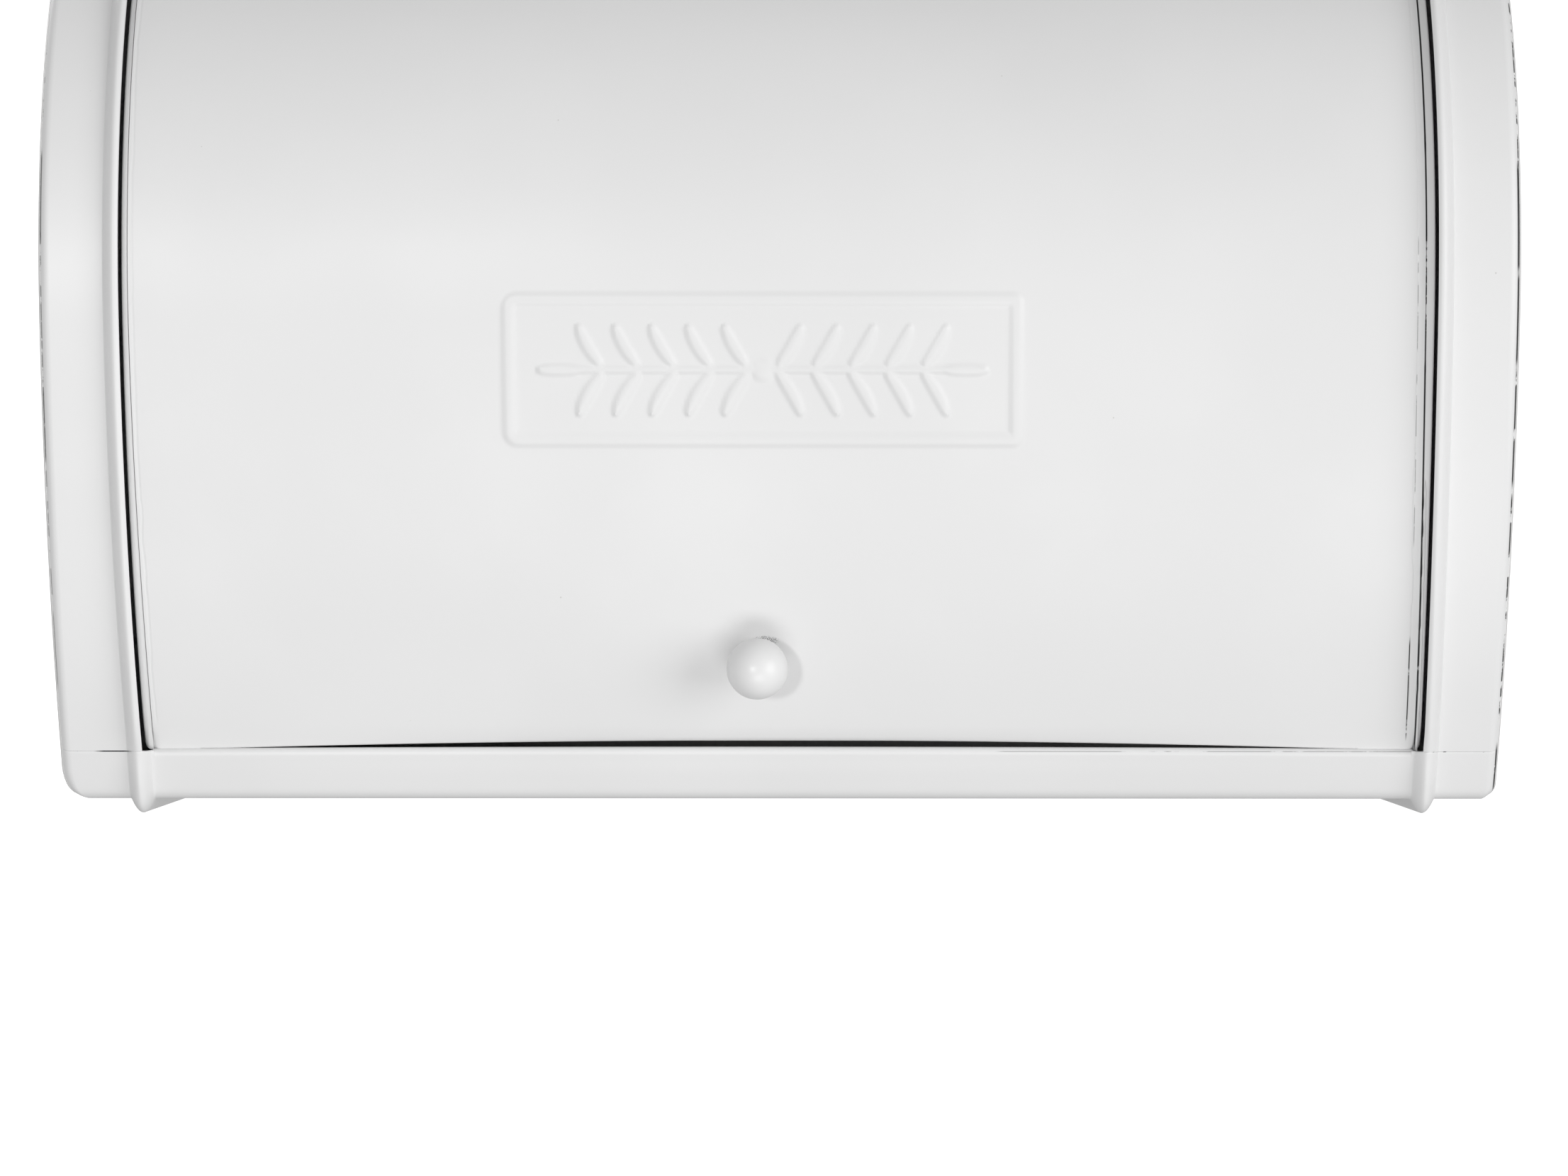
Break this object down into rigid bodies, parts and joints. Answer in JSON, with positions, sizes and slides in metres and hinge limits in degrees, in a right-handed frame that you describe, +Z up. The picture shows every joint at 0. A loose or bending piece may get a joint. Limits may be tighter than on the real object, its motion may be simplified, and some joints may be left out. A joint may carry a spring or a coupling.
{
  "type": "roll-top bread box",
  "caption": "Sheet-steel bread box with a curved roll-top lid that swings up and back on side pivots, and beads that serve as runners.",
  "frame": {"origin": "centre of the footprint, on the surface that the two runners stand on, straight under the lid's pivot", "axes": "+Z up, the front with the lid and knob faces -Y, +X to the right seen from the front"},
  "size_m": [0.35, 0.2148, 0.244],
  "materials": {
    "white_coat": "white satin powder coat",
    "zinc_steel": "zinc-plated steel",
    "nylon": "natural nylon"
  },
  "bodies": {
    "box": {"body_wrap": "white_coat", "bottom_tray": "white_coat", "side_panel_right": "white_coat", "side_panel_left": "white_coat", "pivot_rivet_right": "zinc_steel", "pivot_rivet_left": "zinc_steel", "pivot_spacer_right": "nylon", "pivot_spacer_left": "nylon", "pivot_washer_right": "zinc_steel", "pivot_washer_left": "zinc_steel"},
    "lid": {"lid_panel": "white_coat", "lid_wing_right": "white_coat", "lid_wing_left": "white_coat", "lid_knob": "white_coat", "knob_screw": "zinc_steel", "knob_washer": "zinc_steel"}
  },
  "joints": [
    {"name": "lid_hinge", "type": "hinge", "parent": "box", "child": "lid", "pos_m": [0, 0, 0.1365], "axis": [-1, 0, 0], "range_deg": [0, 82]}
  ]
}
